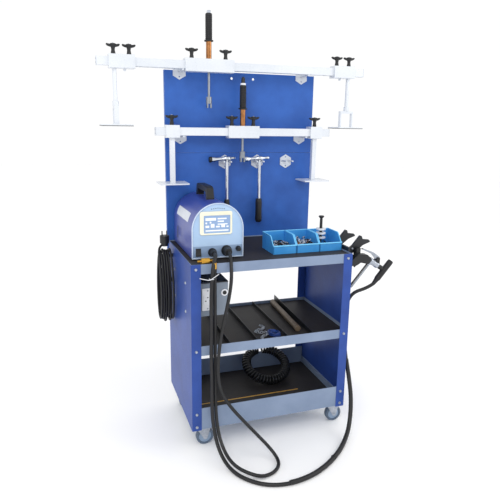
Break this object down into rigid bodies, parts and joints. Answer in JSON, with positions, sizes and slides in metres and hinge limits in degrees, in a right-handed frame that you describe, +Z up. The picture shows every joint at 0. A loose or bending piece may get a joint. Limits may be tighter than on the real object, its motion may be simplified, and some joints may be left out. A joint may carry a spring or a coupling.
{
  "type": "spot welder",
  "caption": "Panel-repair spot welder station: steel trolley with a tool board, welding power source, parts bins, pulling gun, two pulling beams and two hammers.",
  "frame": {"origin": "on the floor, under the middle of the trolley between its side panels", "axes": "+Z up, +X to the operator right, -Y towards the operator"},
  "size_m": [1.1185, 0.7365, 1.6693],
  "materials": {
    "panel_blue": "satin",
    "board_blue": "satin",
    "mat": "matte",
    "divider": "satin",
    "zinc": "satin",
    "clip": "satin",
    "wheel": "matte",
    "box_black": "satin",
    "white_plastic": "satin",
    "case_blue": "satin",
    "front_blue": "satin",
    "black_plastic": "matte",
    "bin_blue": "satin",
    "grey_steel": "satin",
    "chrome": "polished",
    "rubber": "matte",
    "beam_alu": "satin",
    "copper": "polished",
    "steel": "satin",
    "brass": "polished",
    "hose": "satin"
  },
  "bodies": {
    "trolley": {"bottom_shelf": "panel_blue", "caster_plates": "zinc", "cord_fittings": "black_plastic", "frame_bolts": "zinc", "ground_cable": "rubber", "ground_clamp": "brass", "gun_body": "black_plastic", "gun_grip": "rubber", "gun_holder": "grey_steel", "hose_coil": "hose", "left_side_panel": "panel_blue", "mains_hank": "rubber", "mains_plug": "black_plastic", "middle_shelf": "panel_blue", "parts_bins": "bin_blue", "power_box": "box_black", "right_side_panel": "panel_blue", "shelf_dividers": "divider", "shelf_mats": "mat", "socket_panel": "white_plastic", "tool_board": "board_blue", "tool_clips": "clip", "top_tray": "panel_blue", "weld_cable": "rubber", "welder_case": "case_blue", "welder_front": "front_blue", "welder_handle": "black_plastic", "welder_sockets": "black_plastic"},
    "front_left_caster": {"front_left_fork": "zinc"},
    "front_left_wheel": {"front_left_wheel": "wheel"},
    "front_right_caster": {"front_right_fork": "zinc"},
    "front_right_wheel": {"front_right_wheel": "wheel"},
    "rear_left_wheel": {"rear_left_wheel": "wheel"},
    "rear_right_wheel": {"rear_right_wheel": "wheel"},
    "rocker": {"rocker_switch": "black_plastic"},
    "trigger": {"gun_trigger": "chrome"},
    "upper_beam": {"upper_beam": "beam_alu"},
    "upper_carriage": {"upper_carriage": "beam_alu", "upper_carriage_knobs": "black_plastic", "upper_puller_tube": "copper"},
    "upper_rod": {"upper_puller_rod": "steel"},
    "upper_grip": {"upper_puller_grip": "rubber"},
    "upper_left_slider": {"upper_left_slider": "beam_alu", "upper_left_knobs": "black_plastic"},
    "upper_left_foot": {"upper_left_foot": "beam_alu"},
    "upper_right_slider": {"upper_right_slider": "beam_alu", "upper_right_knobs": "black_plastic"},
    "upper_right_foot": {"upper_right_foot": "beam_alu"},
    "lower_beam": {"lower_beam": "beam_alu"},
    "lower_carriage": {"lower_carriage": "beam_alu", "lower_carriage_knobs": "black_plastic", "lower_puller_tube": "copper"},
    "lower_rod": {"lower_puller_rod": "steel"},
    "lower_grip": {"lower_puller_grip": "rubber"},
    "lower_left_leg": {"lower_left_leg": "beam_alu"},
    "lower_right_leg": {"lower_right_leg": "beam_alu"},
    "lower_left_knob": {"lower_left_knob": "black_plastic"},
    "lower_right_knob": {"lower_right_knob": "black_plastic"},
    "left_hammer": {"left_hammer": "chrome"},
    "right_hammer": {"right_hammer": "chrome"}
  },
  "joints": [
    {"name": "front_left_swivel", "type": "hinge", "parent": "trolley", "child": "front_left_caster", "pos_m": [-0.285, -0.155, 0.06], "axis": [0, 0, 1], "continuous": true},
    {"name": "front_left_roll", "type": "hinge", "parent": "front_left_caster", "child": "front_left_wheel", "pos_m": [-0.263, -0.155, 0.035], "axis": [0, 1, 0], "continuous": true},
    {"name": "rear_left_roll", "type": "hinge", "parent": "trolley", "child": "rear_left_wheel", "pos_m": [-0.285, 0.165, 0.035], "axis": [1, 0, 0], "continuous": true},
    {"name": "front_right_swivel", "type": "hinge", "parent": "trolley", "child": "front_right_caster", "pos_m": [0.285, -0.155, 0.06], "axis": [0, 0, 1], "continuous": true},
    {"name": "front_right_roll", "type": "hinge", "parent": "front_right_caster", "child": "front_right_wheel", "pos_m": [0.307, -0.155, 0.035], "axis": [0, 1, 0], "continuous": true},
    {"name": "rear_right_roll", "type": "hinge", "parent": "trolley", "child": "rear_right_wheel", "pos_m": [0.285, 0.165, 0.035], "axis": [1, 0, 0], "continuous": true},
    {"name": "rocker_tilt", "type": "hinge", "parent": "trolley", "child": "rocker", "pos_m": [-0.277, -0.131, 0.78], "axis": [1, 0, 0], "range_deg": [0, 16]},
    {"name": "trigger_squeeze", "type": "hinge", "parent": "trolley", "child": "trigger", "pos_m": [0.456, -0.185, 0.721], "axis": [0, 1, 0], "range_deg": [-5, 0], "stiffness_Nm_per_rad": 1.5, "springref_deg": 6.88},
    {"name": "upper_beam_lift", "type": "slide", "parent": "trolley", "child": "upper_beam", "axis": [0, -1, 0], "range_m": [0, 0.06]},
    {"name": "upper_carriage_slide", "type": "slide", "parent": "upper_beam", "child": "upper_carriage", "axis": [1, 0, 0], "range_m": [0, 0.105]},
    {"name": "upper_rod_travel", "type": "slide", "parent": "upper_carriage", "child": "upper_rod", "axis": [0, 0, 1], "range_m": [-0.025, 0.025]},
    {"name": "upper_grip_turn", "type": "hinge", "parent": "upper_carriage", "child": "upper_grip", "pos_m": [-0.16, 0.154, 1.6], "axis": [0, 0, 1], "range_deg": [-1800, 1800]},
    {"name": "upper_left_slide", "type": "slide", "parent": "upper_beam", "child": "upper_left_slider", "axis": [1, 0, 0], "range_m": [-0.038, 0.07]},
    {"name": "upper_right_slide", "type": "slide", "parent": "upper_beam", "child": "upper_right_slider", "axis": [1, 0, 0], "range_m": [-0.04, 0.04]},
    {"name": "upper_left_foot_turn", "type": "hinge", "parent": "upper_left_slider", "child": "upper_left_foot", "pos_m": [-0.526, 0.154, 1.31], "axis": [0, 0, 1], "range_deg": [-90, 90]},
    {"name": "upper_right_foot_turn", "type": "hinge", "parent": "upper_right_slider", "child": "upper_right_foot", "pos_m": [0.462, 0.154, 1.31], "axis": [0, 0, 1], "range_deg": [-90, 90]},
    {"name": "lower_beam_lift", "type": "slide", "parent": "trolley", "child": "lower_beam", "axis": [0, -1, 0], "range_m": [0, 0.06]},
    {"name": "lower_carriage_slide", "type": "slide", "parent": "lower_beam", "child": "lower_carriage", "axis": [1, 0, 0], "range_m": [-0.11, 0.2]},
    {"name": "lower_rod_travel", "type": "slide", "parent": "lower_carriage", "child": "lower_rod", "axis": [0, 0, 1], "range_m": [-0.025, 0.025]},
    {"name": "lower_grip_turn", "type": "hinge", "parent": "lower_carriage", "child": "lower_grip", "pos_m": [-0.016, 0.154, 1.35], "axis": [0, 0, 1], "range_deg": [-1800, 1800]},
    {"name": "lower_left_slide", "type": "slide", "parent": "lower_beam", "child": "lower_left_leg", "axis": [1, 0, 0], "range_m": [-0.035, 0.012]},
    {"name": "lower_right_slide", "type": "slide", "parent": "lower_beam", "child": "lower_right_leg", "axis": [1, 0, 0], "range_m": [-0.012, 0.035]},
    {"name": "lower_left_clamp", "type": "hinge", "parent": "lower_left_leg", "child": "lower_left_knob", "pos_m": [-0.312, 0.154, 1.25], "axis": [0, 0, 1], "range_deg": [-180, 180]},
    {"name": "lower_right_clamp", "type": "hinge", "parent": "lower_right_leg", "child": "lower_right_knob", "pos_m": [0.312, 0.154, 1.25], "axis": [0, 0, 1], "range_deg": [-180, 180]},
    {"name": "left_hammer_lift", "type": "slide", "parent": "trolley", "child": "left_hammer", "axis": [0, -1, 0], "range_m": [0, 0.06]},
    {"name": "right_hammer_lift", "type": "slide", "parent": "trolley", "child": "right_hammer", "axis": [0, -1, 0], "range_m": [0, 0.06]}
  ],
  "couplings": [
    {"joint": "upper_grip_turn", "follows": "upper_rod_travel", "rad_per_m": 1256.6},
    {"joint": "lower_grip_turn", "follows": "lower_rod_travel", "rad_per_m": 1256.6}
  ]
}
